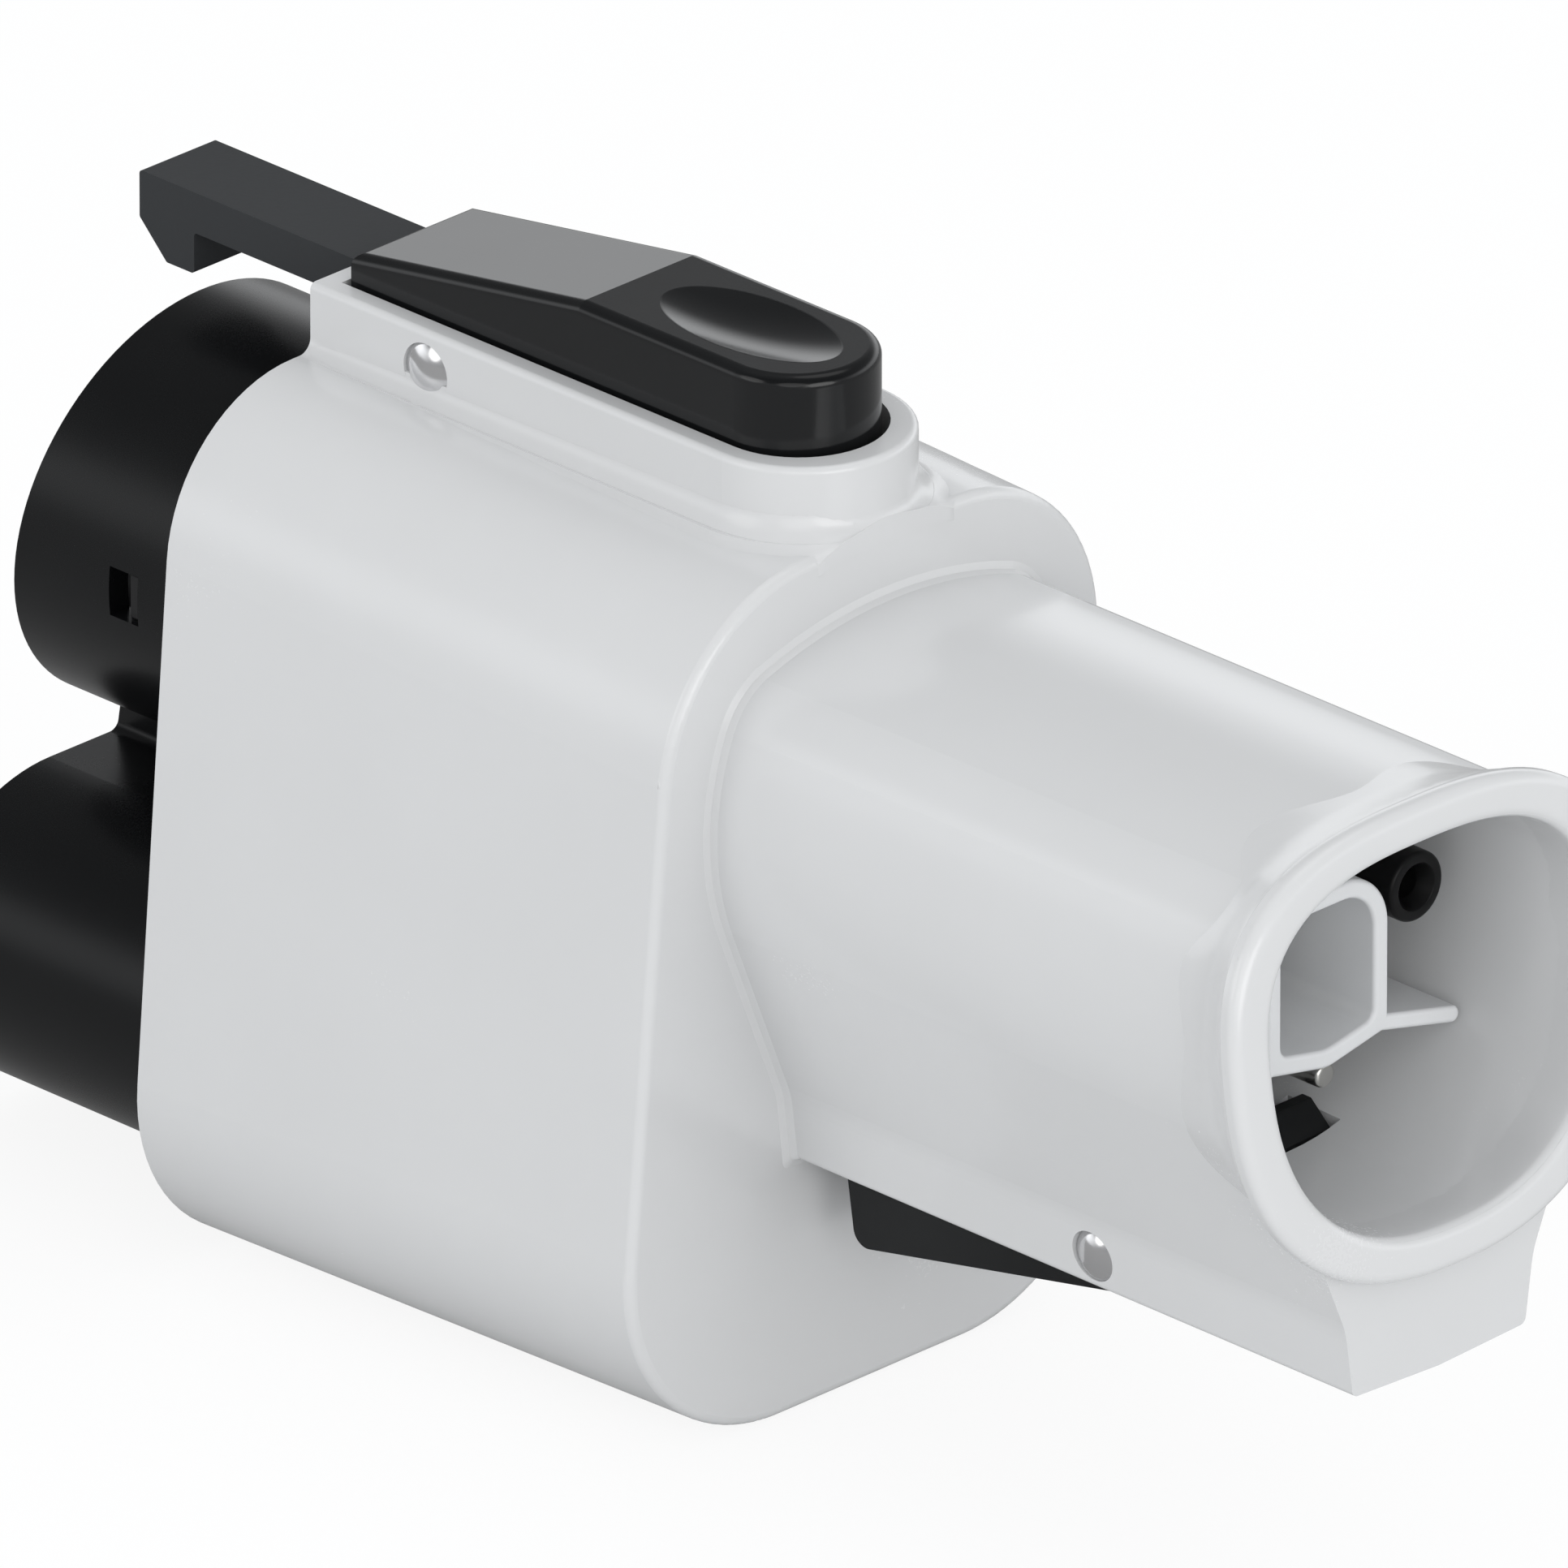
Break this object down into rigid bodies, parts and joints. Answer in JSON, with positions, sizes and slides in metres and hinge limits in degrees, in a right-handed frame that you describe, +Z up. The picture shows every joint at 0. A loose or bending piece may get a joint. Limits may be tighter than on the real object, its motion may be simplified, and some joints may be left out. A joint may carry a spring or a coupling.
{
  "type": "ev charging adapter",
  "caption": "DC charging adapter: moulded hull with a black two-barrel vehicle plug and latch at one end and a flared pin inlet nozzle with a release lever at the other.",
  "frame": {"origin": "where the axis of the plug's round barrel meets its slanted face", "axes": "+X from the plug towards the inlet's mouth, +Z up towards the thumb lever, +Y to the object's left seen from the plug"},
  "size_m": [0.1831, 0.0696, 0.1059],
  "materials": {
    "white_housing": "glossy white moulding",
    "black_nose": "satin black moulding",
    "black_insulator": "matt black moulding",
    "seal_rubber": "soft seal",
    "screw_steel": "zinc plated",
    "pin_plastic": "polished pin",
    "spring_steel": "bright spring wire",
    "lever_black": "glossy black",
    "arm_grey": "matt dark grey",
    "release_black": "satin black",
    "silver_plate": "plated contact",
    "cap_black": "touch guard",
    "bar_copper": "bare copper",
    "lead_green": "insulated lead",
    "lead_grey": "insulated lead",
    "lead_blue": "insulated lead"
  },
  "bodies": {
    "housing": {"housing_shell": "white_housing", "inlet_base": "white_housing", "inlet_shroud": "white_housing", "plug_nose": "black_nose", "ac_contact_block": "black_insulator", "ac_contact_silos": "black_insulator", "dc_contact_block": "black_insulator", "plug_gasket": "seal_rubber", "plug_screws": "screw_steel", "carrier_screws": "screw_steel", "latch_pivot_pin": "pin_plastic", "release_pivot_pin": "pin_plastic", "latch_spring": "spring_steel", "release_spring": "spring_steel", "dc_socket_positive": "silver_plate", "dc_socket_negative": "silver_plate", "ground_socket": "silver_plate", "pilot_socket": "silver_plate", "proximity_socket": "silver_plate", "dc_pin_positive": "silver_plate", "dc_pin_negative": "silver_plate", "ground_pin": "silver_plate", "pilot_pin": "silver_plate", "proximity_pin": "silver_plate", "dc_pin_cap_positive": "cap_black", "dc_pin_cap_negative": "cap_black", "busbar_positive": "bar_copper", "busbar_negative": "bar_copper", "busbar_nuts": "screw_steel", "ground_lead": "lead_green", "pilot_lead": "lead_grey", "proximity_lead": "lead_blue"},
    "latch": {"thumb_lever": "lever_black", "hook_arm": "arm_grey", "arm_screws": "screw_steel"},
    "release": {"release_lever": "release_black"}
  },
  "joints": [
    {"name": "latch_pivot", "type": "hinge", "parent": "housing", "child": "latch", "pos_m": [0.0453, 0, 0.0302], "axis": [0, 1, 0], "range_deg": [0, 6], "stiffness_Nm_per_rad": 2.9, "springref_deg": -2.98, "deforming": ["latch_spring"]},
    {"name": "release_pivot", "type": "hinge", "parent": "housing", "child": "release", "pos_m": [0.1367, 0, -0.0326], "axis": [0, 1, 0], "range_deg": [0, 12], "stiffness_Nm_per_rad": 1.1, "springref_deg": -3.15, "deforming": ["release_spring"]}
  ]
}
